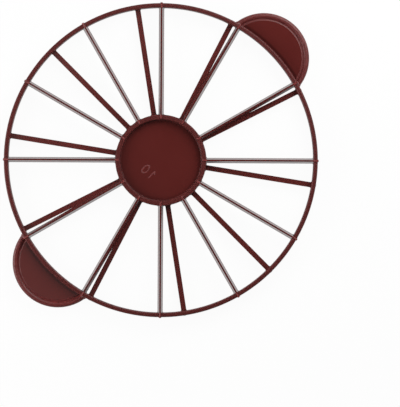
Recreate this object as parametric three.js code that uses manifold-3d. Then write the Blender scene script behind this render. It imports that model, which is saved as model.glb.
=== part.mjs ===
// A two-sided cake portion marker: a moulded ring and hub joined by wedge-shaped marking blades.
// Twelve blades point up and ten point down, so one side marks twelfths and the other marks tenths.
// Millimetres, +Z up, +X along the two grips. The parting plane of the moulding halves the thickness,
// and the marker stands on the crests of the ten lower blades at Z = 0.
import * as THREE from "three";
import { mergeVertices } from "three/addons/utils/BufferGeometryUtils.js";
import Module from "manifold-3d";

const wasm = await Module();
wasm.setup();

// Outer ring
const RING_OUTER_DIAMETER = 270;
const RING_WIDTH = 4.2;
const RING_EDGE_ROUND = 1.2;

// Hub
const HUB_OUTER_DIAMETER = 78.5;
const HUB_RIM_WIDTH = 4.5;
const HUB_EDGE_ROUND = 0.7;
const HUB_FLOOR_THICKNESS = 2;
const HUB_FILLET = 0.4;

// Both rims: height from the parting plane to a face, and slope of the walls
const RIM_HALF_HEIGHT = 7;
const DRAFT = THREE.MathUtils.degToRad(2);

// Marking blades
const TWELFTHS = 12;
const TENTHS = 10;
const BLADE_BASE_WIDTH = 4.6;
const BLADE_CREST_WIDTH = 1.4;
const CREST_RISE = 0.5;
const NIB_LENGTH = 0.5;
const NIB_DEPTH = 2.4;
const CREST_INSET = 0.9;

// Grips: round plates beyond the ring, each edged by a groove and a round bead
const GRIP_DIAMETER = 78;
const GRIP_REACH = 28.5;
const GRIP_PLATE_THICKNESS = 2;
const GRIP_BEAD_DIAMETER = 4.8;
const GROOVE_WIDTH = 0.8;
const GROOVE_DEPTH = 0.3;
const GROOVE_BEVEL = 0.6;
const GROOVE_LEDGE = 0.4;

// Clearance left at each seam between neighbouring sub-parts
const SEAM = 0.3;

// Smoothness of round forms
const RING_STEPS = 120;
const HUB_STEPS = 60;
const GRIP_STEPS = 72;
const ROUND_STEPS = 2;
const BEAD_STEPS = 8;

const ringRadius = RING_OUTER_DIAMETER / 2;
const hubRadius = HUB_OUTER_DIAMETER / 2;
const gripRadius = GRIP_DIAMETER / 2;
const bladeHeight = RIM_HALF_HEIGHT + CREST_RISE;
const rimTaper = RIM_HALF_HEIGHT * Math.tan(DRAFT);

const brownPlastic = new THREE.MeshStandardMaterial({ color: 0x56221f, roughness: 0.42, metalness: 0 });

// Closed mesh to solid and back, for cutting

function solidOf(geometry) {
  const bare = geometry.clone();
  bare.deleteAttribute("normal");
  bare.deleteAttribute("uv");
  const merged = mergeVertices(bare, 1e-4);
  return new wasm.Manifold(
    new wasm.Mesh({
      numProp: 3,
      vertProperties: merged.attributes.position.array,
      triVerts: new Uint32Array(merged.index.array),
    }),
  );
}

function geometryOf(solid) {
  const { vertProperties, triVerts } = solid.getMesh();
  const geometry = new THREE.BufferGeometry();
  geometry.setAttribute("position", new THREE.BufferAttribute(vertProperties, 3));
  geometry.setIndex(new THREE.BufferAttribute(triVerts, 1));
  geometry.computeVertexNormals();
  return geometry;
}

// Turns an outline of radius against height about the Z axis.
function revolve(outline, steps, roundSteps = ROUND_STEPS) {
  return new THREE.LatheGeometry(outline.getPoints(roundSteps), steps).rotateX(Math.PI / 2);
}

function cylinder(radius, height, steps) {
  return new THREE.CylinderGeometry(radius, radius, height, steps).rotateX(Math.PI / 2);
}

// Rims: a wall that tapers both ways from the parting plane, with rounded edges

function roundTo(outline, corner, next, radius) {
  const into = corner.clone().sub(outline.currentPoint).setLength(radius);
  const out = next.clone().sub(corner).setLength(radius);
  outline.lineTo(corner.x - into.x, corner.y - into.y);
  outline.quadraticCurveTo(corner.x, corner.y, corner.x + out.x, corner.y + out.y);
}

// The inner wall runs straight from face to face, unless a floor of some thickness joins it with fillets.
function rimOutline(outerRadius, width, edgeRound, floorThickness = 0, fillet = 0) {
  const innerRadius = outerRadius - width;
  const point = (radius, height) => new THREE.Vector2(radius, height);
  const outerTop = point(outerRadius - rimTaper, RIM_HALF_HEIGHT);
  const innerTop = point(innerRadius + rimTaper, RIM_HALF_HEIGHT);
  const innerBottom = point(innerTop.x, -RIM_HALF_HEIGHT);
  const outerBottom = point(outerTop.x, -RIM_HALF_HEIGHT);
  const floorTop = floorThickness / 2;
  const ledgeRadius = innerRadius - 2 * fillet;
  const wallFoot = point(innerRadius + floorTop * Math.tan(DRAFT), floorTop);

  const outline = new THREE.Path();
  outline.moveTo(outerRadius, 0);
  roundTo(outline, outerTop, innerTop, edgeRound);
  roundTo(outline, innerTop, wallFoot, edgeRound);
  if (floorThickness > 0) {
    roundTo(outline, wallFoot, point(ledgeRadius, floorTop), fillet);
    outline.lineTo(ledgeRadius, floorTop);
    outline.lineTo(ledgeRadius, -floorTop);
    roundTo(outline, point(wallFoot.x, -floorTop), innerBottom, fillet);
  } else {
    outline.lineTo(innerRadius, 0);
  }
  roundTo(outline, innerBottom, outerBottom, edgeRound);
  roundTo(outline, outerBottom, point(outerRadius, 0), edgeRound);
  outline.closePath();
  return outline;
}

function outerRing() {
  return revolve(rimOutline(ringRadius, RING_WIDTH, RING_EDGE_ROUND), RING_STEPS);
}

function hubRim() {
  const outline = rimOutline(hubRadius, HUB_RIM_WIDTH, HUB_EDGE_ROUND, HUB_FLOOR_THICKNESS, HUB_FILLET);
  return revolve(outline, HUB_STEPS);
}

function hubFloor() {
  const radius = hubRadius - HUB_RIM_WIDTH - 2 * HUB_FILLET - SEAM;
  return cylinder(radius, HUB_FLOOR_THICKNESS, HUB_STEPS);
}

// Marking blade, along +X with its crest up: a wedge section run out from the hub, trimmed to a side view.
// The crest crosses the faces of both rims, stops short inside the hub rim and ends in a nib outside the ring.

function wedgePrism(length) {
  const section = new THREE.Shape();
  section.moveTo(-BLADE_BASE_WIDTH / 2, 0);
  section.lineTo(BLADE_BASE_WIDTH / 2, 0);
  section.lineTo(BLADE_CREST_WIDTH / 2, bladeHeight);
  section.lineTo(-BLADE_CREST_WIDTH / 2, bladeHeight);
  const across = new THREE.Vector3(0, 1, 0);
  const up = new THREE.Vector3(0, 0, 1);
  const along = new THREE.Vector3(1, 0, 0);
  const geometry = new THREE.ExtrudeGeometry(section, { depth: length, bevelEnabled: false });
  return geometry.applyMatrix4(new THREE.Matrix4().makeBasis(across, up, along));
}

function bladeSideView() {
  const ringInner = ringRadius - RING_WIDTH;
  const nibFoot = RIM_HALF_HEIGHT - NIB_DEPTH;
  const side = new THREE.Shape();
  side.moveTo(hubRadius + SEAM, 0);
  side.lineTo(ringInner - SEAM, 0);
  side.lineTo(ringInner + rimTaper - SEAM, RIM_HALF_HEIGHT);
  side.lineTo(ringRadius - rimTaper + SEAM, RIM_HALF_HEIGHT);
  side.lineTo(ringRadius - nibFoot * Math.tan(DRAFT) + SEAM, nibFoot);
  side.lineTo(ringRadius + NIB_LENGTH, RIM_HALF_HEIGHT);
  side.lineTo(ringRadius + NIB_LENGTH, bladeHeight);
  side.lineTo(hubRadius - HUB_RIM_WIDTH + rimTaper + CREST_INSET, bladeHeight);
  side.lineTo(hubRadius - HUB_RIM_WIDTH + rimTaper + CREST_INSET, RIM_HALF_HEIGHT);
  side.lineTo(hubRadius - rimTaper + SEAM, RIM_HALF_HEIGHT);
  side.closePath();
  return side;
}

function blade() {
  const sideView = new THREE.ExtrudeGeometry(bladeSideView(), { depth: BLADE_BASE_WIDTH, bevelEnabled: false })
    .rotateX(Math.PI / 2)
    .translate(0, BLADE_BASE_WIDTH / 2, 0);
  const wedge = wedgePrism(ringRadius + NIB_LENGTH);
  return geometryOf(solidOf(wedge).intersect(solidOf(sideView)));
}

// Grips: plate and bead are turned about the grip's own centre, then cut back from the ring.

const gripCentre = ringRadius + GRIP_REACH - gripRadius;
const beadRadius = GRIP_BEAD_DIAMETER / 2;
const gripPlateTop = GRIP_PLATE_THICKNESS / 2;

// The bead's round runs down to the groove's floor, from which a bevel and a ledge lead in to the plate.
const grooveFloor = gripPlateTop - GROOVE_DEPTH;
const beadFootAngle = Math.PI - Math.asin(grooveFloor / beadRadius);
const beadFoot = gripRadius - beadRadius + beadRadius * Math.cos(beadFootAngle);
const grooveInner = beadFoot - GROOVE_WIDTH;
const bevelTop = grooveInner - GROOVE_BEVEL;
const gripLedgeRadius = bevelTop - GROOVE_LEDGE;

function beadOutline() {
  const outline = new THREE.Path();
  outline.moveTo(gripLedgeRadius, -gripPlateTop);
  outline.lineTo(bevelTop, -gripPlateTop);
  outline.lineTo(grooveInner, -grooveFloor);
  outline.lineTo(beadFoot, -grooveFloor);
  outline.absarc(gripRadius - beadRadius, 0, beadRadius, -beadFootAngle, beadFootAngle, false);
  outline.lineTo(grooveInner, grooveFloor);
  outline.lineTo(bevelTop, gripPlateTop);
  outline.lineTo(gripLedgeRadius, gripPlateTop);
  outline.closePath();
  return outline;
}

function cutBackFromRing(geometry) {
  const ringSpace = cylinder(ringRadius + SEAM, 4 * RIM_HALF_HEIGHT, RING_STEPS);
  const grip = solidOf(geometry.translate(gripCentre, 0, 0));
  return geometryOf(grip.subtract(solidOf(ringSpace)));
}

function gripBead() {
  return cutBackFromRing(revolve(beadOutline(), GRIP_STEPS, BEAD_STEPS));
}

function gripPlate() {
  return cutBackFromRing(cylinder(gripLedgeRadius - SEAM, GRIP_PLATE_THICKNESS, GRIP_STEPS));
}

// Assembly on the parting plane

const marker = new THREE.Group();
marker.position.z = bladeHeight;

function addPiece(name, geometry, parent = marker) {
  const piece = new THREE.Mesh(geometry, brownPlastic);
  piece.name = name;
  parent.add(piece);
  return piece;
}

function spokeAt(angle) {
  const spoke = new THREE.Group();
  spoke.rotation.z = angle;
  marker.add(spoke);
  return spoke;
}

addPiece("outer_ring", outerRing());
addPiece("hub_rim", hubRim());
addPiece("hub_floor", hubFloor());

// Both sets of blades straddle the grips, half a step to either side of +X.
const bladeShape = blade();
for (let index = 0; index < TWELFTHS; index++) {
  const step = (2 * Math.PI) / TWELFTHS;
  const name = "twelfth_blade_" + String(index + 1).padStart(2, "0");
  addPiece(name, bladeShape, spokeAt((index + 0.5) * step));
}
for (let index = 0; index < TENTHS; index++) {
  const step = (2 * Math.PI) / TENTHS;
  const name = "tenth_blade_" + String(index + 1).padStart(2, "0");
  addPiece(name, bladeShape, spokeAt((index + 0.5) * step)).rotation.x = Math.PI;
}

const bead = gripBead();
const plate = gripPlate();
for (const [side, angle] of [
  ["right", 0],
  ["left", Math.PI],
]) {
  const spoke = spokeAt(angle);
  addPiece("grip_bead_" + side, bead, spoke);
  addPiece("grip_plate_" + side, plate, spoke);
}

const root = new THREE.Group();
root.add(marker);

export default root;
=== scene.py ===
"""Looks of a two-sided cake portion marker, one moulding in dark red-brown plastic.

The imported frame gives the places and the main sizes. Each element of the moulding is a surface worked out as
whole arrays: the rims are outlines turned about the axis, the blades and the grips' beads are outlines
carried along a line or an arc, and the numerals are ridges along their strokes. All lengths are in metres.
"""

import logging
import math
from dataclasses import dataclass, field, replace
from enum import Enum

import bpy
import numpy as np
from mathutils import Matrix, Vector


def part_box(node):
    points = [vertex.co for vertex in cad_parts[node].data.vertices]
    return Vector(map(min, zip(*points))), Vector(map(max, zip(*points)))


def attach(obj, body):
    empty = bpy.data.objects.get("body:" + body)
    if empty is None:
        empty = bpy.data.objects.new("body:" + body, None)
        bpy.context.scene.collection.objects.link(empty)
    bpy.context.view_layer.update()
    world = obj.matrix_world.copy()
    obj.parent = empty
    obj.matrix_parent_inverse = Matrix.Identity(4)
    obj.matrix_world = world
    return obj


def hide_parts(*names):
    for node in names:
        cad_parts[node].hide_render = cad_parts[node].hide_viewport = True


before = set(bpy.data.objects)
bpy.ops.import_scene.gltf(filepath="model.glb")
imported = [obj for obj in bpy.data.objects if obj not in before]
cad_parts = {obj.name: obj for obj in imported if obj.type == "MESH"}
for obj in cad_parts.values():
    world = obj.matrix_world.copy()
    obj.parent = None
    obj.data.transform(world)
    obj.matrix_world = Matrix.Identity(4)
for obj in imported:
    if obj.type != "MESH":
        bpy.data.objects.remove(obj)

MM = 0.001
BODY = "root"
# Place of the darkest line of a corner's painted shade off its wall, and its spread to both sides
CORNER_LINE = 1.3 * MM
CORNER_SPREAD = 1.3 * MM
WHITE = (1.0, 1.0, 1.0, 1.0)
NOISE_MEAN = 0.5
# Sockets of a Mix node that mixes colours
MIX_FIRST, MIX_SECOND, MIX_RESULT = 6, 7, 2

log = logging.getLogger("portion_marker")
Array = np.ndarray
Weight = np.ndarray | float
Color = tuple[float, float, float]
Corners = list[tuple[float, float]]
Socket = bpy.types.NodeSocket
Feed = Socket | float | tuple[float, ...]
Links = dict[str | int, Feed]


class Mask(Enum):
    """The values at a surface's vertices that the finishes read, by the names of their attributes."""

    # Rounded edges, painted lighter as rubbing and as painted highlight
    EDGE = "edge_turn"
    SATIN = "satin_face"
    # Corners along the walls, darkened as painted shade
    CORNER = "corner_depth"


class SocketKind(Enum):
    """Kinds of input and output of a shader group."""

    VALUE = "NodeSocketFloat"
    COLOR = "NodeSocketColor"
    VECTOR = "NodeSocketVector"


class BladeSide(Enum):
    """The two faces of the marker, named for the shares that their blades mark."""

    TWELFTHS = "twelfth"
    TENTHS = "tenth"

    @property
    def count(self) -> int:
        """Number of blades on this face, taken from the frame's nodes."""
        return sum(name.startswith(self.value + "_blade_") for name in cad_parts)

    @property
    def is_up(self) -> bool:
        """Whether the crests of this face point up."""
        return self is BladeSide.TWELFTHS


class GripSide(Enum):
    """The two grips, on the right and on the left along the marker's X axis."""

    RIGHT = "right"
    LEFT = "left"

    @property
    def angle(self) -> float:
        """Turn of this grip about the marker's axis."""
        return 0.0 if self is GripSide.RIGHT else math.pi


# Surfaces as arrays


@dataclass
class Surface:
    """A closed mesh as arrays, with values at its vertices for the finish.

    Attributes:
        points: Places of the vertices, one row each.
        faces: Vertex numbers in blocks, one row for each face. All faces of a block have as many corners.
        edge: How far a vertex takes the lighter edge colour, both as rubbing and as painted highlight, from 0
        on a flat to 1 in the middle of a rounded edge.
        satin: How textured it is, from 0 on a polished wall to 1 on a textured face.
        corner: How much painted shade it takes in a corner, from 0 in the open to 1 on the darkest line.
    """

    points: Array
    faces: list[Array]
    edge: Weight = 0.0
    satin: Weight = 1.0
    corner: Weight = 0.0

    @property
    def from_axis(self) -> Array:
        """Distance of each vertex from the Z axis."""
        return np.hypot(self.points[:, 0], self.points[:, 1])

    @property
    def volume(self) -> float:
        """Signed volume by the sum of tetrahedra from the origin, positive with the faces pointing out."""
        corners = [self.points[block] for block in self.faces]
        return sum(float((at[:, :1] * np.cross(at[:, 1:-1], at[:, 2:])).sum()) for at in corners) / 6

    def facing_out(self) -> "Surface":
        """The same surface with its faces turned to point out."""
        inside_out = self.volume < 0
        return replace(self, faces=[block[:, ::-1] for block in self.faces]) if inside_out else self

    def turned(self, turn: Matrix) -> "Surface":
        """A copy moved by a rotation and a shift, given as a 4 by 4 matrix."""
        matrix = np.array(turn)
        return replace(self, points=self.points @ matrix[:3, :3].T + matrix[:3, 3])

    def mirrored(self) -> "Surface":
        """A copy mirrored in the plane Z = 0, with its faces pointing out."""
        return replace(self, points=self.points * [1, 1, -1]).facing_out()

    def joined(self, other: "Surface") -> "Surface":
        """This surface and another as one, each still closed."""
        faces = self.faces + [block + len(self.points) for block in other.faces]
        return Surface(np.vstack([self.points, other.points]), faces, np.append(self.edge, other.edge))


def below(above: Corners) -> Corners:
    """The same points of radius and height mirrored below the parting plane, in reverse order."""
    return [(radius, -height) for radius, height in reversed(above)]


def run_along(points: Array) -> Array:
    """Length gone along a line at each of its points."""
    return np.append(0, np.cumsum(np.linalg.norm(np.diff(points, axis=0), axis=1)))


def round_outlines(corners: Array, radii: Array, steps: int) -> tuple[Array, Array]:
    """Rounds every corner of a batch of closed outlines with a circular arc.

    The arc of radius r touches both edges at r over the tangent of half the corner's angle from the corner.
    Its centre lies on the bisector at r over the sine of that half angle, and its points are found by
    turning evenly from the first touching point to the second.

    Args:
        corners: Outlines by corner and coordinate, shape (..., n, 2).
        radii: Radius at each corner, shape (..., n).
        steps: Points along each arc.

    Returns:
        The outlines, shape (..., n * steps, 2), and the share of rounding at each of their points.
    """
    least_turn = 1e-9
    back = np.roll(corners, 1, axis=-2) - corners
    ahead = np.roll(corners, -1, axis=-2) - corners
    back /= np.linalg.norm(back, axis=-1, keepdims=True)
    ahead /= np.linalg.norm(ahead, axis=-1, keepdims=True)
    half = 0.5 * np.arccos(np.clip((back * ahead).sum(-1), -1 + least_turn, 1))
    bisector = back + ahead
    bisector /= np.linalg.norm(bisector, axis=-1, keepdims=True)
    centre = corners + bisector * (radii / np.sin(half))[..., None]
    reach = (radii / np.tan(half))[..., None]
    start = corners + back * reach - centre
    end = corners + ahead * reach - centre
    sweep = (math.pi - 2 * half)[..., None, None]
    share = np.linspace(0, 1, steps)[:, None]
    from_start = np.sin((1 - share) * sweep) * start[..., None, :]
    from_end = np.sin(share * sweep) * end[..., None, :]
    outline = centre[..., None, :] + (from_start + from_end) / np.sin(sweep)
    shape = corners.shape[:-2] + (corners.shape[-2] * steps,)
    turned = np.broadcast_to(np.sin(math.pi * share[:, 0]), corners.shape[:-1] + (steps,))
    weight = turned * np.clip(sweep[..., 0] / (math.pi / 2), 0, 1)
    return outline.reshape(shape + (2,)), weight.reshape(shape)


def band(here: Array, after: Array) -> Array:
    """Quads from rows of vertex numbers to the rows after them, closed round each row."""
    corners = [here, after, np.roll(after, -1, axis=1), np.roll(here, -1, axis=1)]
    return np.stack(corners, axis=-1).reshape(-1, 4)


def skin(points: Array, edge: Weight = 0.0, rows_wrap: bool = False) -> Surface:
    """Skins a grid of closed outlines, each row joined to the next.

    Args:
        points: Grid of places by row, column and coordinate. The columns of a row close on themselves.
        edge: Share of rounding by row and column.
        rows_wrap: Whether the last row joins the first. If not, both end rows are capped.

    Returns:
        The closed surface, with its faces pointing out.
    """
    grid = points.shape[:2]
    index = np.arange(grid[0] * grid[1]).reshape(grid)
    if rows_wrap:
        faces = [band(index, np.roll(index, -1, axis=0))]
    else:
        faces = [band(index[:-1], index[1:]), index[:1], index[-1:, ::-1]]
    return Surface(points.reshape(-1, 3), faces, np.broadcast_to(edge, grid).reshape(-1)).facing_out()


def around(radius: Weight, angle: Array, height: Weight, centre: float = 0.0) -> Array:
    """Places (centre + r cos a, r sin a, z), with a radius r, an angle a and a height z for each."""
    plan = [centre + radius * np.cos(angle), radius * np.sin(angle)]
    return np.stack(np.broadcast_arrays(*plan, height), axis=-1)


def turn_about_axis(outline: Array, edge: Array, steps: int) -> Surface:
    """Turns a closed outline of radius against height about the Z axis.

    A point at radius r and height z goes to (r cos a, r sin a, z) for evenly spaced angles a.

    Args:
        outline: Radius and height of each point.
        edge: Share of rounding of each point.
        steps: Number of angles in a full turn.

    Returns:
        The ring-shaped surface.
    """
    angle = np.arange(steps)[:, None] * (2 * math.pi / steps)
    radius, height = outline.T
    return skin(around(radius, angle, height), edge, rows_wrap=True)


def disc(radius: float, thickness: float, steps: int, rings: int) -> Surface:
    """A flat disc about the Z axis, halved by the plane Z = 0.

    The rings of the upper face run out from its middle, and those of the lower face run back to its own.
    Their lack from the edge falls by squares, so they lie closer together towards it.

    Args:
        radius: Radius of the edge.
        thickness: Distance between the faces.
        steps: Number of angles in a full turn.
        rings: Rings on each face.

    Returns:
        The closed disc.
    """
    angle = np.arange(steps) * (2 * math.pi / steps)
    out = radius * (1 - np.linspace(1, 0, rings + 1)[1:] ** 2)
    radii = np.append(out, out[::-1])[:, None]
    faces_z = np.array([thickness / 2, -thickness / 2])
    height = np.repeat(faces_z, rings)[:, None]
    body = around(radii, angle, height)
    poles = np.stack([np.zeros(2), np.zeros(2), faces_z], axis=-1)
    index = np.arange(2 * rings * steps).reshape(2 * rings, steps)
    first, last = index[0], index[-1]
    top = np.full(steps, index.size)
    fan_top = np.stack([top, first, np.roll(first, -1)], axis=-1)
    fan_bottom = np.stack([top + 1, np.roll(last, -1), last], axis=-1)
    points = np.vstack([body.reshape(-1, 3), poles])
    return Surface(points, [band(index[:-1], index[1:]), fan_top, fan_bottom]).facing_out()


def fillet_rise(distance: Array, radius: Weight) -> Array:
    """Rise of a fillet at distance d from its wall: r less the root of r squared less (r - d) squared."""
    lack = radius - np.clip(np.abs(distance), 0, radius)
    return radius - np.sqrt(np.maximum(radius**2 - lack**2, 0))


def ease(value: Array, low: float, high: float) -> Array:
    """Rises smoothly from 0 at low to 1 at high, by three times the square less twice the cube."""
    share = np.clip((value - low) / (high - low), 0, 1)
    return share**2 * (3 - 2 * share)


def painted_corner_shadow(distance: Array) -> Array:
    """Darkness of a corner, e to the power of less the square of the distance from its line in spreads."""
    # Painted shade, strongest on a line a little off the wall
    return np.exp(-(((distance - CORNER_LINE) / CORNER_SPREAD) ** 2))


# Finishes


class NodeBench:
    """Adds nodes to a shader tree and joins them up."""

    def __init__(self, tree: bpy.types.NodeTree) -> None:
        """Takes the tree to work on."""
        self.tree = tree

    def feed(self, node: bpy.types.Node, links: Links) -> None:
        """Feeds inputs of a node.

        Args:
            node: The node.
            links: By input name or number, either a socket to link from or a constant.
        """
        for key, value in links.items():
            if isinstance(value, Socket):
                self.tree.links.new(value, node.inputs[key])
            else:
                node.inputs[key].default_value = value

    def add(self, kind: str, links: Links | None = None, **settings: object) -> bpy.types.NodeOutputs:
        """Adds a node, sets its properties and feeds its inputs.

        Args:
            kind: Blender's name for its type.
            links: What feeds its inputs.
            **settings: Properties to set on the node.

        Returns:
            Its outputs.
        """
        node = self.tree.nodes.new(kind)
        for name, value in settings.items():
            setattr(node, name, value)
        self.feed(node, links or {})
        return node.outputs

    def calc(self, operation: str, *values: Feed, clamp: bool = False) -> Socket:
        """Result of one step of arithmetic."""
        return self.add("ShaderNodeMath", dict(enumerate(values)), operation=operation, use_clamp=clamp)[0]

    def noise(self, place: Socket, scale: Feed, detail: float) -> Socket:
        """Soft noise from 0 to 1, at some scale to a metre."""
        return self.add("ShaderNodeTexNoise", {"Vector": place, "Scale": scale, "Detail": detail})["Fac"]

    def scaled(self, color: Socket, share: Socket) -> Socket:
        """A colour times a value."""
        return self.add("ShaderNodeVectorMath", {0: color, "Scale": share}, operation="SCALE")[0]

    def mask(self, mask: Mask) -> Socket:
        """One of the values that surfaces carry at their vertices."""
        return self.add("ShaderNodeAttribute", attribute_name=mask.value)["Fac"]

    def group(self, tree: bpy.types.NodeTree, links: Links) -> Socket:
        """Output of a shader group."""
        return self.add("ShaderNodeGroup", links, node_tree=tree)[0]


class EffectGroup(NodeBench):
    """A shader group of named inputs and one named output."""

    def __init__(self, name: str, inputs: dict[str, SocketKind], output: str, kind: SocketKind) -> None:
        """Opens a new group.

        Args:
            name: Name of the group.
            inputs: Kinds of its inputs by their names.
            output: Name of its output.
            kind: Kind of its output.
        """
        super().__init__(bpy.data.node_groups.new(name, "ShaderNodeTree"))
        for label, input_kind in inputs.items():
            self.tree.interface.new_socket(label, in_out="INPUT", socket_type=input_kind.value)
        self.tree.interface.new_socket(output, in_out="OUTPUT", socket_type=kind.value)
        self.given = self.add("NodeGroupInput")

    def closed(self, result: Socket) -> bpy.types.NodeTree:
        """The finished group, which puts out the result."""
        self.add("NodeGroupOutput", {0: result})
        return self.tree


def mould_grain() -> bpy.types.NodeTree:
    """Surface of the mould as a height: a fine spark-eroded grain over a slow ripple.

    Returns:
        The group.
    """
    value = SocketKind.VALUE
    inputs = {"Vector": SocketKind.VECTOR, "Grain Scale": value, "Ripple Scale": value, "Ripple": value}
    group = EffectGroup("mould_grain", inputs, "Height", value)
    given = group.given
    grain = group.noise(given["Vector"], given["Grain Scale"], detail=2.0)
    ripple = group.noise(given["Vector"], given["Ripple Scale"], detail=1.0)
    return group.closed(group.calc("MULTIPLY_ADD", ripple, given["Ripple"], grain))


def colour_drift() -> bpy.types.NodeTree:
    """Slow change of the pigment's depth, as the melt leaves it.

    Returns:
        The group.
    """
    cloud_scale = 34.0
    inputs = {"Vector": SocketKind.VECTOR, "Color": SocketKind.COLOR, "Drift": SocketKind.VALUE}
    group = EffectGroup("colour_drift", inputs, "Color", SocketKind.COLOR)
    clouds = group.noise(group.given["Vector"], cloud_scale, detail=4.0)
    centred = group.calc("SUBTRACT", clouds, NOISE_MEAN)
    depth = group.calc("MULTIPLY_ADD", centred, group.given["Drift"], 1.0)
    return group.closed(group.scaled(group.given["Color"], depth))


def handling_marks() -> bpy.types.NodeTree:
    """Fine rubbed streaks and dull patches that handling leaves on plastic.

    Returns:
        The group.
    """
    patch_scale = 70.0
    streak_scale = (90.0, 1600.0, 400.0)
    streak_turn = (0.0, 0.0, 0.6)
    streak_share = 0.2
    inputs = {"Vector": SocketKind.VECTOR, "Marks": SocketKind.VALUE, "Roughness": SocketKind.VALUE}
    group = EffectGroup("handling_marks", inputs, "Roughness", SocketKind.VALUE)
    place = group.given["Vector"]
    patches = group.noise(place, patch_scale, detail=3.0)
    drawn = group.add("ShaderNodeMapping", {"Vector": place, "Rotation": streak_turn, "Scale": streak_scale})
    streaks = group.calc("MULTIPLY", group.noise(drawn[0], 1.0, detail=1.0), streak_share)
    both = group.calc("ADD", patches, streaks)
    centred = group.calc("SUBTRACT", both, NOISE_MEAN * (1 + streak_share))
    marked = [centred, group.given["Marks"], group.given["Roughness"]]
    return group.closed(group.calc("MULTIPLY_ADD", *marked, clamp=True))


@dataclass(frozen=True)
class Effects:
    """The shader groups that every finish shares, each built once."""

    mould_grain: bpy.types.NodeTree = field(default_factory=mould_grain)
    colour_drift: bpy.types.NodeTree = field(default_factory=colour_drift)
    handling_marks: bpy.types.NodeTree = field(default_factory=handling_marks)


@dataclass(frozen=True)
class MouldedPlastic:
    """A finish of the brown plastic, as one part of the mould gives it.

    Attributes:
        name: Name of the material.
        color: Colour of the plastic, set lighter or darker from finish to finish as painted light and shade.
        edge_wear_and_highlight_color: Lighter colour of rounded edges, both as rubbing and as painted
            highlight.
        edge_wear_and_highlight_share: How far a rounded edge takes that colour.
        roughness: Roughness of the textured faces.
        polish: Roughness of the polished walls.
        drift: How far the colour's depth changes over the surface.
        marks: How far handling changes the roughness.
        painted_corner_shade: How far the colour darkens as painted shade in the corners along the walls.
        grain_scale: Scale of the grain to a metre.
        grain_depth: Depth of the grain.
        ripple_scale: Scale of the slow ripple to a metre.
        ripple: Strength of the ripple against the grain.
        refraction: Refractive index of the skin.
        specular: Strength of its reflection, where a half leaves it as the index gives it.
        gloss: Weight of a clear outer skin on top.
    """

    name: str
    color: Color = (0.0980, 0.0142, 0.0120)
    edge_wear_and_highlight_color: Color = (0.210, 0.045, 0.043)
    edge_wear_and_highlight_share: float = 0.1
    roughness: float = 0.4
    polish: float = 0.18
    drift: float = 0.16
    marks: float = 0.04
    painted_corner_shade: float = 0.5
    grain_scale: float = 2200.0
    grain_depth: float = 0.006 * MM
    ripple_scale: float = 160.0
    ripple: float = 1.2
    refraction: float = 1.58
    specular: float = 0.5
    gloss: float = 0.0

    def material(self, effects: Effects) -> bpy.types.Material:
        """Makes the material, or returns it if it is there.

        Args:
            effects: The shared shader groups.

        Returns:
            The material.
        """
        known = bpy.data.materials.get(self.name)
        if known is not None:
            return known
        made = bpy.data.materials.new(self.name)
        made.use_nodes = True
        bench = NodeBench(made.node_tree)
        place = bench.add("ShaderNodeTexCoord")["Object"]

        # Rounded edges take the lighter edge colour, as rubbing and as painted highlight
        rubbed = bench.calc("MULTIPLY", bench.mask(Mask.EDGE), self.edge_wear_and_highlight_share)
        colors = {MIX_FIRST: (*self.color, 1.0), MIX_SECOND: (*self.edge_wear_and_highlight_color, 1.0)}
        base = bench.add("ShaderNodeMix", {"Factor": rubbed, **colors}, data_type="RGBA")[MIX_RESULT]
        # Painted shade darkens the colour in the corners along the walls
        open_share = bench.calc("MULTIPLY_ADD", bench.mask(Mask.CORNER), -self.painted_corner_shade, 1.0)
        shaded = {"Vector": place, "Color": bench.scaled(base, open_share), "Drift": self.drift}
        color = bench.group(effects.colour_drift, shaded)

        texture = self.roughness - self.polish
        rough = bench.calc("MULTIPLY_ADD", bench.mask(Mask.SATIN), texture, self.polish)
        handled = {"Vector": place, "Marks": self.marks, "Roughness": rough}
        dull = bench.group(effects.handling_marks, handled)

        scales = {"Grain Scale": self.grain_scale, "Ripple Scale": self.ripple_scale, "Ripple": self.ripple}
        relief = bench.group(effects.mould_grain, {"Vector": place, **scales})
        normal = bench.add("ShaderNodeBump", {"Height": relief, "Distance": self.grain_depth})["Normal"]

        shader = made.node_tree.nodes["Principled BSDF"]
        bench.feed(shader, {"Base Color": color, "Roughness": dull, "Normal": normal})
        constants = {"IOR": self.refraction, "Specular IOR Level": self.specular, "Coat Weight": self.gloss}
        bench.feed(shader, constants)
        return made


# The colours of these finishes are lighter and darker copies of the one plastic, painted light and shade for
# each part
RIM_FINISH = MouldedPlastic("rim_plastic", color=(0.0845, 0.0096, 0.0082), roughness=0.48, specular=0.25)
BEAD_FINISH = MouldedPlastic("bead_plastic", color=(0.1250, 0.0145, 0.0127), roughness=0.45, specular=0.37)
WEB_FINISH = MouldedPlastic("web_plastic", color=(0.1030, 0.0147, 0.0125), roughness=0.16)
# The numeral's crowns take the edge colour strongly, as rubbing and as painted highlight
NUMERAL_FINISH = MouldedPlastic("numeral_plastic", roughness=0.3, edge_wear_and_highlight_share=0.7)
# The crests over the rims take the edge colour strongly, as rubbing and as painted highlight
UPPER_BLADE_FINISH = MouldedPlastic(
    "upper_blade_plastic",
    color=(0.0850, 0.0120, 0.0102),
    edge_wear_and_highlight_share=0.8,
    polish=0.12,
    grain_depth=0.003 * MM,
    gloss=0.15,
)
LOWER_BLADE_FINISH = replace(
    UPPER_BLADE_FINISH,
    name="lower_blade_plastic",
    color=(0.1010, 0.0143, 0.0121),
    roughness=0.26,
    specular=0.38,
)


# Pieces


def linked(name: str, data: bpy.types.ID) -> bpy.types.Object:
    """Makes an object of a mesh, a light or a camera and puts it in the scene.

    Args:
        name: Its name.
        data: What it shows.

    Returns:
        The object.
    """
    made = bpy.data.objects.new(name, data)
    bpy.context.scene.collection.objects.link(made)
    return made


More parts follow.
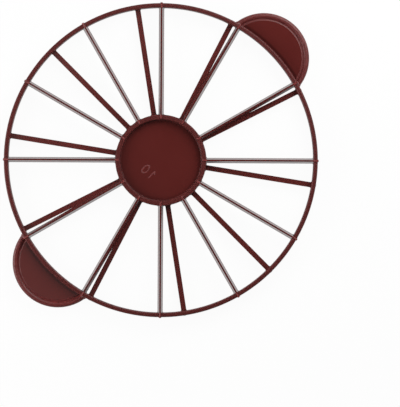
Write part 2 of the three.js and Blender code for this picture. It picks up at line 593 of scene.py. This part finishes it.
@dataclass
class Workshop:
    """Turns surfaces into dressed pieces on the body, whose edges past the sharp angle stay sharp."""

    effects: Effects = field(default_factory=Effects)
    sharp_angle: float = math.radians(38)

    def add(self, name: str, surface: Surface, finish: MouldedPlastic, *nodes: str) -> None:
        """Makes one piece from a surface.

        Args:
            name: Name of the piece.
            surface: Its closed surface.
            finish: Its finish.
            *nodes: The frame's nodes that it stands for.
        """
        mesh = bpy.data.meshes.new(name)
        faces = [face for block in surface.faces for face in block.tolist()]
        mesh.from_pydata(surface.points.tolist(), [], faces)
        masks = {Mask.EDGE: surface.edge, Mask.SATIN: surface.satin, Mask.CORNER: surface.corner}
        for mask, values in masks.items():
            attribute = mesh.attributes.new(mask.value, "FLOAT", "POINT")
            each = np.broadcast_to(values, len(surface.points))
            attribute.data.foreach_set("value", np.array(each, dtype=np.float32))
        mesh.shade_smooth()
        mesh.set_sharp_from_angle(angle=self.sharp_angle)
        mesh.materials.append(finish.material(self.effects))
        piece = linked(name, mesh)
        flats = piece.modifiers.new("flats_stay_flat", "WEIGHTED_NORMAL")
        flats.keep_sharp = True
        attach(piece, BODY)
        if nodes:
            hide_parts(*nodes)
        log.info("%s: %d faces, %s", name, len(faces), finish.name)


@dataclass(frozen=True)
class Moulding:
    """Sizes that the elements of the moulding share.

    Radii are the outer ones and widths are those of the walls, both at the parting plane. The heights of
    the rims' faces and of the crests are taken from that plane, and its own is taken from the floor. The
    web is the hub's floor, and the draft is the slope of the rims' walls.
    """

    ring_radius: float
    hub_radius: float
    parting_height: float
    rim_half_height: float
    crest_height: float
    web_thickness: float
    ring_width: float = 4.2 * MM
    hub_width: float = 4.5 * MM
    draft: float = math.radians(2)

    @classmethod
    def from_frame(cls) -> "Moulding":
        """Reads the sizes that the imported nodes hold.

        Returns:
            The sizes.
        """
        ring_low, ring_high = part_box("outer_ring")
        _, hub_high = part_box("hub_rim")
        _, blade_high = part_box("twelfth_blade_01")
        web_low, web_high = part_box("hub_floor")
        middle = (ring_low.z + ring_high.z) / 2
        return cls(
            ring_radius=ring_high.x,
            hub_radius=hub_high.x,
            parting_height=middle,
            rim_half_height=ring_high.z - middle,
            crest_height=blade_high.z - middle,
            web_thickness=web_high.z - web_low.z,
        )

    @property
    def taper(self) -> float:
        """How far a rim's wall leans in from the parting plane to its face."""
        return self.rim_half_height * math.tan(self.draft)

    @property
    def ring_inner(self) -> float:
        """Inner radius of the ring at the parting plane."""
        return self.ring_radius - self.ring_width

    @property
    def hub_inner(self) -> float:
        """Inner radius of the hub's wall at the parting plane."""
        return self.hub_radius - self.hub_width

    def face_corners(self, outer: float, inner: float) -> Corners:
        """Radius and height of both edges of a rim's upper face, given its radii at the parting plane."""
        return [(outer - self.taper, self.rim_half_height), (inner + self.taper, self.rim_half_height)]

    def placed(self, angle: float = 0.0, upside_down: bool = False) -> Matrix:
        """Transform from an element's own place on the parting plane to the marker.

        Args:
            angle: Turn about the marker's axis.
            upside_down: Whether the element is first turned over about its length.

        Returns:
            The transform.
        """
        lift = Matrix.Translation((0, 0, self.parting_height))
        over = Matrix.Rotation(math.pi if upside_down else 0.0, 4, "X")
        return lift @ Matrix.Rotation(angle, 4, "Z") @ over


@dataclass
class OuterRing:
    """The ring that the blades run out to: a wall that leans in both ways from the parting plane."""

    moulding: Moulding
    edge_round: float = 1.2 * MM
    parting_round: float = 0.3 * MM
    steps: int = 360
    round_steps: int = 9

    def build(self, shop: Workshop) -> None:
        """Turns the wall's outline about the axis.

        Args:
            shop: Where the piece is made.
        """
        m = self.moulding
        above = m.face_corners(m.ring_radius, m.ring_inner)
        corners = np.array([(m.ring_radius, 0), *above, (m.ring_inner, 0), *below(above)])
        radii = np.tile([self.parting_round, self.edge_round, self.edge_round], 2)
        outline, weight = round_outlines(corners, radii, self.round_steps)
        surface = turn_about_axis(outline, weight, self.steps)
        shop.add("ring_wall", surface.turned(m.placed()), RIM_FINISH, "outer_ring")


@dataclass
class Hub:
    """The hub: a wall like the ring's, a floor at mid-thickness and a numeral.

    The numeral is raised on the underside, whose blades it counts, and shows through faintly on the upper
    face. The wall's foot is as long as foot_share fillets, and its edges meet the floor all but square.
    """

    moulding: Moulding
    edge_round: float = 0.7 * MM
    fillet: float = 0.4 * MM
    foot_share: float = 1.5
    foot_round: float = 0.001 * MM
    parting_round: float = 0.3 * MM
    numeral_place: float = 14.6 * MM
    numeral_relief: float = 0.45 * MM
    show_through: float = 0.16 * MM
    corner_depth: float = 0.4
    steps: int = 240
    round_steps: int = 7
    floor_rings: int = 16

    @property
    def ledge_radius(self) -> float:
        """Where the wall's foot ends and the floor's disc begins."""
        return self.moulding.hub_inner - self.foot_share * self.fillet

    def build(self, shop: Workshop) -> None:
        """Makes the wall, the floor and the numerals.

        Args:
            shop: Where the pieces are made.
        """
        m = self.moulding
        outline, weight = self.wall_outline()
        wall = turn_about_axis(outline, weight, self.steps)
        # Painted shade at the wall's foot
        at_foot = np.abs(wall.points[:, 2]) < m.web_thickness / 2 + self.fillet
        wall.corner = self.corner_depth * at_foot * painted_corner_shadow(m.hub_inner - wall.from_axis)
        shop.add("hub_wall", wall.turned(m.placed()), RIM_FINISH, "hub_rim")
        floor = disc(self.ledge_radius, m.web_thickness, self.steps, self.floor_rings)
        # Painted shade on the floor beside the wall
        floor.corner = self.corner_depth * painted_corner_shadow(m.hub_inner - floor.from_axis)
        shop.add("hub_web", floor.turned(m.placed()), WEB_FINISH, "hub_floor")
        turned_over = Matrix.Rotation(math.pi, 4, "X")
        seat = Matrix.Translation((-self.numeral_place, 0, m.web_thickness / 2))
        towards_grip = Matrix.Rotation(-math.pi / 2, 4, "Z")
        underside = turned_over @ seat @ towards_grip
        raised = NumeralTen(self.numeral_relief).surface().turned(underside)
        faint = NumeralTen(self.show_through).surface().turned(underside).mirrored()
        shop.add("numeral_ten", raised.turned(m.placed()), NUMERAL_FINISH)
        shop.add("numeral_show_through", faint.turned(m.placed()), NUMERAL_FINISH)

    def wall_outline(self) -> tuple[Array, Array]:
        """Outline of the wall with the filleted foot that it stands on at mid-height.

        Returns:
            The outline of radius against height, and the share of rounding at its points.
        """
        m = self.moulding
        foot = m.web_thickness / 2
        face = m.face_corners(m.hub_radius, m.hub_inner)
        above = [*face, (m.hub_inner, foot), (self.ledge_radius, foot)]
        corners = np.array([(m.hub_radius, 0), *above, *below(above)])
        upper = [self.edge_round, self.edge_round, self.fillet, self.foot_round]
        radii = np.array([self.parting_round, *upper, *reversed(upper)])
        outline, weight = round_outlines(corners, radii, self.round_steps)
        rounded = np.abs(outline[:, 1]) > m.rim_half_height - self.edge_round
        return outline, weight * rounded


@dataclass
class NumeralTen:
    """A raised ten of single strokes, each a ridge of half-round section.

    A digit's height is taken between the middles of its strokes. The pitch from the one to the nought, the
    nought's width and the corners of the one's flag and stem, from its foot, are shares of that height. The
    tip is the least way from an open end that counts, as a share of half a stroke.
    """

    relief: float
    height: float = 7.7 * MM
    stroke: float = 1.3 * MM
    sunk: float = 0.2 * MM
    pitch: float = 0.97
    nought_width: float = 0.58
    one_corners: tuple[tuple[float, float], ...] = ((-0.2, 0.74), (0.06, 1.0), (0.06, 0.0))
    tip: float = 0.02
    steps: int = 96
    section_steps: int = 13

    def surface(self) -> Surface:
        """The numeral centred on its own origin, reading along +X with its top towards +Y.

        Returns:
            The ridges of both digits.
        """
        half = self.pitch / 2
        one = self.ridge(self.one_path() + [-half, -0.5], closed=False)
        nought = self.ridge(self.nought_path() + [half, -0.5], closed=True)
        return one.joined(nought)

    def nought_path(self) -> Array:
        """Points of an ellipse of unit height that stands on its foot."""
        angle = np.linspace(0, 2 * math.pi, self.steps, endpoint=False)
        return np.stack([self.nought_width / 2 * np.cos(angle), 0.5 + 0.5 * np.sin(angle)], axis=-1)

    def one_path(self) -> Array:
        """Evenly spaced points along a flag and a stem of unit height that stand on their foot.

        Returns:
            The points.
        """
        corners = np.array(self.one_corners)
        length = run_along(corners)
        even = np.linspace(0, length[-1], self.steps)
        return np.stack([np.interp(even, length, corners[:, k]) for k in range(2)], axis=-1)

    def ridge(self, path: Array, closed: bool) -> Surface:
        """Carries a half-round section along a path, with ends that round off like the section.

        Across the path the section is an ellipse's upper half on a sunk foot. Near an open end, its width
        and its relief shrink by the square root of one less the square of what is lacking to half a stroke.

        Args:
            path: Points in shares of the digits' height.
            closed: Whether the path closes on itself.

        Returns:
            The closed ridge.
        """
        points = path * self.height
        ahead = np.gradient(points, axis=0)
        if closed:
            ahead = np.roll(points, -1, axis=0) - np.roll(points, 1, axis=0)
        ahead /= np.linalg.norm(ahead, axis=1, keepdims=True)
        across = np.stack([-ahead[:, 1], ahead[:, 0]], axis=-1)
        angle = np.linspace(0, math.pi, self.section_steps)
        aside = np.concatenate([np.cos(angle), [-1.0, 1.0]]) * self.stroke / 2
        up = np.concatenate([np.sin(angle) * self.relief, [-self.sunk, -self.sunk]])
        size = np.ones(len(points))
        if not closed:
            run = run_along(points)
            lack = 1 - np.clip(np.minimum(run, run[-1] - run) / (self.stroke / 2), self.tip, 1)
            size = np.sqrt(1 - lack**2)
        plan = points[:, None] + across[:, None] * (aside * size[:, None])[..., None]
        height = np.where(up > 0, up * size[:, None], up)
        # The crown of each ridge takes the edge colour, as rubbing and as painted highlight
        crown_wear_and_highlight = np.concatenate([np.sin(angle), [0.0, 0.0]])
        return skin(np.concatenate([plan, height[..., None]], axis=-1), crown_wear_and_highlight, rows_wrap=closed)


@dataclass
class BladeSet:
    """The blades of one face: wedges from the hub to the ring, whose crests run on over both rims.

    A rounding takes at most height_share of a section's height and width_share of its half-width. The crests
    over the rims take the full edge colour, as rubbing and as painted highlight, and the other rounded edges
    take edge_rub_and_highlight of it.
    """

    moulding: Moulding
    side: BladeSide
    base_width: float = 4.6 * MM
    crest_width: float = 1.4 * MM
    base_round: float = 0.2 * MM
    crest_round: float = 0.18 * MM
    height_share: float = 0.42
    width_share: float = 0.6
    base_fillet: float = 1.1 * MM
    crest_fillet: float = 0.35 * MM
    nib_length: float = 0.5 * MM
    nib_depth: float = 2.4 * MM
    end_round: float = 0.45 * MM
    crest_inset: float = 0.9 * MM
    sunk: float = 0.3 * MM
    wall_cover: float = 0.7 * MM
    edge_rub_and_highlight: float = 0.1
    span_steps: tuple[int, ...] = (7, 9, 9, 24, 9, 13, 9)
    round_steps: int = 6

    def build(self, shop: Workshop) -> None:
        """Makes every blade of this face.

        Args:
            shop: Where the pieces are made.
        """
        blade = self.surface()
        finish = UPPER_BLADE_FINISH if self.side.is_up else LOWER_BLADE_FINISH
        step = 2 * math.pi / self.side.count
        for number in range(1, self.side.count + 1):
            place = self.moulding.placed((number - 0.5) * step, upside_down=not self.side.is_up)
            name = f"{self.side.value}_mark_{number:02d}"
            shop.add(name, blade.turned(place), finish, f"{self.side.value}_blade_{number:02d}")

    def reach(self) -> tuple[float, float]:
        """Where the crest starts on the hub's face and where its nib ends outside the ring."""
        m = self.moulding
        return m.hub_inner + m.taper + self.crest_inset, m.ring_radius + self.nib_length

    def stations(self) -> Array:
        """Places along the blade where its section is worked out, close together at the ends.

        Returns:
            Distances from the marker's axis.
        """
        m = self.moulding
        start, end = self.reach()
        at_hub = [start, start + self.end_round, m.hub_radius, m.hub_radius + self.base_fillet]
        at_ring = [m.ring_inner - self.base_fillet, m.ring_inner, m.ring_radius, end]
        stops = at_hub + at_ring
        spans = [np.linspace(*span) for span in zip(stops, stops[1:], self.span_steps)]
        # Ends that two stretches share become one, to a nanometre
        return np.unique(np.concatenate(spans).round(9))

    def edge_lines(self, along: Array) -> tuple[Array, Array]:
        """Heights of the blade's underside and of its crest.

        The underside lies on the parting plane between the rims and is raised inside their walls. The crest
        is level, and falls by a quarter of a circle at both ends.

        Args:
            along: Distances from the marker's axis.

        Returns:
            The height of the underside at each distance, and that of the crest.
        """
        m = self.moulding
        start, end = self.reach()
        fin_foot = m.rim_half_height - self.sunk
        nib_foot = m.rim_half_height - self.nib_depth
        in_hub = fin_foot * (1 - ease(along, start + self.sunk, m.hub_radius - self.wall_cover))
        in_ring = nib_foot * ease(along, m.ring_inner + self.wall_cover, m.ring_radius - self.sunk)
        past = np.clip((along - m.ring_radius) / (end - m.ring_radius), 0, 1)
        low = in_hub + in_ring + past * (fin_foot - nib_foot)
        lack = np.clip(1 - np.minimum(along - start, end - along) / self.end_round, 0, 1)
        return low, m.crest_height - self.end_round * (1 - np.sqrt(1 - lack**2))

    def half_width(self, along: Array, height: Array) -> Array:
        """Half the blade's width at some height, with the fillets at the rims' walls.

        Args:
            along: Distances from the marker's axis.
            height: Height above the parting plane at each.

        Returns:
            The half-width at each.
        """
        m = self.moulding
        share = height / m.crest_height
        wedge = (self.base_width + (self.crest_width - self.base_width) * share) / 2
        lean = np.minimum(height, m.rim_half_height) * math.tan(m.draft)
        fillet = self.base_fillet + (self.crest_fillet - self.base_fillet) * share
        at_hub = fillet_rise(along - (m.hub_radius - lean), fillet)
        at_ring = fillet_rise(m.ring_inner + lean - along, fillet)
        return wedge + at_hub + at_ring

    def surface(self) -> Surface:
        """One blade with its crest up, along +X from the marker's axis.

        The half-width at a height falls evenly from half the base to half the crest. Near each rim's wall it
        grows by the rise of a fillet, wider at the base than at the crest. Where the crest stands proud of
        the rims it takes the full edge colour, as rubbing and as painted highlight.

        Returns:
            The closed blade.
        """
        m = self.moulding
        along = self.stations()
        low, high = self.edge_lines(along)
        base, crest = self.half_width(along, low), self.half_width(along, high)
        corners = np.stack([-base, low, base, low, crest, high, -crest, high], axis=-1).reshape(-1, 4, 2)
        room = self.height_share * (high - low)
        base_radius = np.minimum(np.minimum(self.base_round, room), self.width_share * base)
        crest_radius = np.minimum(np.minimum(self.crest_round, room), self.width_share * crest)
        radii = np.stack([base_radius, base_radius, crest_radius, crest_radius], axis=-1)
        outline, weight = round_outlines(corners, radii, self.round_steps)
        run = np.broadcast_to(along[:, None, None], outline.shape[:2] + (1,))
        over_rims = (along < m.hub_radius) | (along > m.ring_inner)
        # Crests over the rims take the full edge colour, as rubbing and as painted highlight
        tick_wear_and_highlight = over_rims[:, None] & (outline[..., 1] > m.rim_half_height)
        blade = skin(np.concatenate([run, outline], axis=-1), np.where(tick_wear_and_highlight, 1.0, self.edge_rub_and_highlight * weight))
        on_back = np.arange(outline.shape[1]) < 2 * self.round_steps
        blade.satin = np.broadcast_to(on_back, outline.shape[:2]).reshape(-1)
        return blade


@dataclass
class Grip:
    """A half-round grip outside the ring: a thin web edged by a round bead, with a groove between them.

    The web runs in under the ring's wall by its cover, and web_gather draws its points towards the ring.
    """

    moulding: Moulding
    side: GripSide
    radius: float = 39 * MM
    bead_radius: float = 2.4 * MM
    groove_width: float = 0.8 * MM
    groove_depth: float = 0.25 * MM
    groove_rise: float = 1.0 * MM
    foot_round: float = 0.15 * MM
    bead_fillet: float = 0.4 * MM
    end_angle: float = math.radians(84.5)
    web_end_angle: float = math.radians(79.5)
    cover: float = 1.0 * MM
    steps: int = 170
    bead_steps: int = 34
    rise_steps: int = 12
    web_steps: int = 48
    web_gather: float = 1.6

    def __post_init__(self) -> None:
        """Works out the grip's centre, web and groove from the frame and the bead's round."""
        low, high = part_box(f"grip_bead_{self.side.value}")
        web_low, web_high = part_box(f"grip_plate_{self.side.value}")
        self.centre: float = max(abs(low.x), abs(high.x)) - self.radius
        self.web_top: float = (web_high.z - web_low.z) / 2
        self.bead_centre: float = self.radius - self.bead_radius
        self.groove_floor: float = self.web_top - self.groove_depth
        self.foot_angle: float = math.pi - math.asin(self.groove_floor / self.bead_radius)
        self.bead_foot: float = self.bead_centre + self.bead_radius * math.cos(self.foot_angle)
        self.ledge: float = self.bead_foot - self.groove_width - self.groove_rise

    def build(self, shop: Workshop) -> None:
        """Makes the bead and the web.

        Args:
            shop: Where the pieces are made.
        """
        side = self.side.value
        turn = self.moulding.placed(self.side.angle)
        shop.add(f"grip_{side}_bead", self.bead().turned(turn), BEAD_FINISH, f"grip_bead_{side}")
        shop.add(f"grip_{side}_web", self.web().turned(turn), WEB_FINISH, f"grip_plate_{side}")

    def arc(self) -> Array:
        """Angles about the grip's centre where both pieces are worked out."""
        return np.linspace(-self.end_angle, self.end_angle, self.steps)

    def bead_outline(self) -> Array:
        """Half outline of the bead above the parting plane, from its outer edge in to the web.

        An arc of a circle runs over the bead and down to the groove's floor. From there a smooth step, three
        times the square less twice the cube of the share gone, rises to the web.

        Returns:
            Distance from the grip's centre and height of each point.
        """
        angle = np.linspace(0, self.foot_angle, self.bead_steps)
        circle = np.stack([np.cos(angle), np.sin(angle)], axis=-1)
        over = [self.bead_centre, 0] + self.bead_radius * circle
        start = self.bead_foot - self.groove_width
        out = np.linspace(start, self.ledge, self.rise_steps)
        rise = self.groove_floor + self.groove_depth * ease(-out, -start, -self.ledge)
        return np.vstack([over, np.stack([out, rise], axis=-1)])

    def bead(self) -> Surface:
        """Carries the bead's outline round the grip, swelling by a fillet's rise where it meets the ring.

        Returns:
            The closed bead.
        """
        half = self.bead_outline()
        outline = np.vstack([half, half[:0:-1] * [1, -1]])
        angle = self.arc()[:, None]
        middle = around(self.bead_centre, angle, 0.0, self.centre)
        gap = np.hypot(middle[..., 0], middle[..., 1]) - self.moulding.ring_radius
        swell = 1 + fillet_rise(np.maximum(gap, 0), self.bead_fillet) / self.bead_radius
        inner = outline[:, 0] < self.bead_foot + self.foot_round
        out = np.where(inner, outline[:, 0], self.bead_centre + (outline[:, 0] - self.bead_centre) * swell)
        height = np.where(inner, outline[:, 1], outline[:, 1] * swell)
        return skin(around(out, angle, height, self.centre))

    def web(self) -> Surface:
        """The thin flat plate between the ring and the bead, shaded in the corner along the ring.

        Its lines run out from the grip's centre, from just inside the ring's wall to the bead's foot. Points
        along them are spaced by a power of the share gone, so that they lie closer together in the corner.

        Returns:
            The closed web.
        """
        arc = self.arc()
        angle = arc[np.abs(arc) < self.web_end_angle][:, None]
        inside = self.moulding.ring_radius - self.cover
        start = np.sqrt(inside**2 - (self.centre * np.sin(angle)) ** 2) - self.centre * np.cos(angle)
        out = start + (self.ledge - start) * np.linspace(0, 1, self.web_steps) ** self.web_gather
        upper = around(out, angle, self.web_top, self.centre)
        web = skin(np.concatenate([upper, upper[:, ::-1] * [1, 1, -1]], axis=1))
        # Painted shade on the web along the ring's wall
        web.corner = painted_corner_shadow(web.from_axis - self.moulding.ring_radius)
        return web


# Studio


@dataclass(frozen=True)
class SoftBox:
    """A square soft light that faces the marker, with the length of a side as its size.

    Its bearing runs anticlockwise from the picture's right and its elevation up from the floor, both in
    degrees. Its power is in watts.
    """

    name: str
    bearing: float
    elevation: float
    distance: float
    size: float
    power: float


@dataclass
class Studio:
    """Pale floor, soft light and the camera straight above.

    The ring's place and size in the picture, in pixels, set the camera, which looks straight down on the
    picture's middle. The right grip's bearing is in degrees, anticlockwise from the picture's right. What is
    seen of the floor is plain white by the share floor_glow, and the rest of it keeps the shadow.
    """

    moulding: Moulding
    picture_width: int = 400
    picture_height: int = 407
    ring_column: float = 160.86
    ring_row: float = 160.24
    ring_pixels: float = 157.0
    grip_bearing: float = 44.7
    camera_height: float = 3.0
    sensor: float = 36.0
    floor_size: float = 12.0
    floor_drop: float = 0.2 * MM
    floor_color: Color = (0.9, 0.9, 0.9)
    floor_glow: float = 0.95
    horizon_level: float = 0.5
    lights: tuple[SoftBox, ...] = (
        SoftBox("key_softbox", 50, 38, 0.7, 0.5, 3.8),
        SoftBox("left_softbox", 186, 27, 0.7, 0.45, 3.0),
        SoftBox("upper_fill", 135, 60, 0.5, 0.3, 0.11),
        SoftBox("top_panel", 219, 81, 3.55, 0.6, 0.52),
    )

    def picture_axes(self) -> tuple[Vector, Vector]:
        """Directions on the floor that run right and up in the picture."""
        turn = math.radians(self.grip_bearing)
        return Vector((math.cos(turn), -math.sin(turn), 0)), Vector((math.sin(turn), math.cos(turn), 0))

    def build(self) -> None:
        """Makes the floor, the world, the lights and the camera."""
        bpy.context.scene.view_settings.view_transform = "Standard"
        self.add_floor()
        self.add_world()
        for light in self.lights:
            self.add_light(light)
        self.add_camera()

    def add_floor(self) -> None:
        """Lays the pale floor, which keeps the marker's shadow and reads white where it is clear.

        The white is for rays that show the floor itself, straight or mirrored.
        """
        half = self.floor_size / 2
        corners = [(-half, -half), (half, -half), (half, half), (-half, half)]
        mesh = bpy.data.meshes.new("floor")
        mesh.from_pydata([(x, y, -self.floor_drop) for x, y in corners], [], [(0, 1, 2, 3)])
        material = bpy.data.materials.new("floor_paper")
        material.use_nodes = True
        material.node_tree.nodes.clear()
        bench = NodeBench(material.node_tree)
        paper = bench.add("ShaderNodeBsdfDiffuse", {"Color": (*self.floor_color, 1.0)})[0]
        glow = bench.add("ShaderNodeEmission", {"Color": WHITE, "Strength": 1.0})[0]
        rays = bench.add("ShaderNodeLightPath")
        mirrored = bench.calc("MAXIMUM", rays["Is Glossy Ray"], rays["Is Transmission Ray"])
        seen = bench.calc("MAXIMUM", rays["Is Camera Ray"], mirrored)
        share = bench.calc("MULTIPLY", seen, self.floor_glow)
        both = bench.add("ShaderNodeMixShader", {0: share, 1: paper, 2: glow})[0]
        bench.add("ShaderNodeOutputMaterial", {"Surface": both})
        mesh.materials.append(material)
        floor = linked("floor", mesh)

    def add_world(self) -> None:
        """Gives the room the light of a white tent, and shows it white to the camera.

        With h the sine of the height above the horizon, the light falls as the square root of 1 - h, from
        the horizon, where it is strongest, to nothing straight above.
        """
        world = bpy.data.worlds.new("studio")
        world.use_nodes = True
        world.node_tree.nodes.clear()
        bench = NodeBench(world.node_tree)
        camera_ray = bench.add("ShaderNodeLightPath")["Is Camera Ray"]
        direction = bench.add("ShaderNodeTexCoord")["Generated"]
        height = bench.add("ShaderNodeSeparateXYZ", {0: direction})["Z"]
        root = bench.calc("SQRT", bench.calc("SUBTRACT", 1.0, height, clamp=True))
        level = bench.calc("MULTIPLY", root, self.horizon_level)
        dim = bench.add("ShaderNodeBackground", {"Color": WHITE, "Strength": level})[0]
        white = bench.add("ShaderNodeBackground", {"Color": WHITE, "Strength": 1.0})[0]
        both = bench.add("ShaderNodeMixShader", {0: camera_ray, 1: dim, 2: white})[0]
        bench.add("ShaderNodeOutputWorld", {"Surface": both})
        bpy.context.scene.world = world

    def add_light(self, light: SoftBox) -> None:
        """Hangs one soft light so that it faces the marker's middle.

        Args:
            light: The light.
        """
        right, up = self.picture_axes()
        bearing, elevation = math.radians(light.bearing), math.radians(light.elevation)
        level = right * math.cos(bearing) + up * math.sin(bearing)
        away = level * math.cos(elevation) + Vector((0, 0, math.sin(elevation)))
        lamp = bpy.data.lights.new(light.name, "AREA")
        lamp.shape = "SQUARE"
        lamp.size = light.size
        lamp.energy = light.power
        holder = linked(light.name, lamp)
        holder.location = away * light.distance
        holder.rotation_mode = "QUATERNION"
        holder.rotation_quaternion = away.to_track_quat("Z", "Y")

    def add_camera(self) -> None:
        """Hangs the camera above the middle of the picture, turned to the grips' bearing."""
        right, up = self.picture_axes()
        pixel = self.moulding.ring_radius / self.ring_pixels
        aside = (self.picture_width / 2 - self.ring_column) * pixel
        down = (self.picture_height / 2 - self.ring_row) * pixel
        height = Vector((0, 0, self.moulding.parting_height + self.camera_height))
        lens = bpy.data.cameras.new("camera")
        lens.sensor_width = self.sensor
        lens.lens = self.camera_height * self.sensor / (max(self.picture_width, self.picture_height) * pixel)
        lens.clip_end = self.floor_size * 2
        camera = linked("camera", lens)
        camera.matrix_world = Matrix((right, up, (0, 0, 1))).transposed().to_4x4()
        camera.location = right * aside - up * down + height
        bpy.context.scene.camera = camera


def main() -> None:
    """Builds the studio and every element of the marker."""
    logging.basicConfig(level=logging.INFO, format="%(message)s")
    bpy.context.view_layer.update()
    moulding = Moulding.from_frame()
    Studio(moulding).build()
    shop = Workshop()
    OuterRing(moulding).build(shop)
    Hub(moulding).build(shop)
    for side in BladeSide:
        BladeSet(moulding, side).build(shop)
    for side in GripSide:
        Grip(moulding, side).build(shop)


if __name__ == "__main__":
    main()
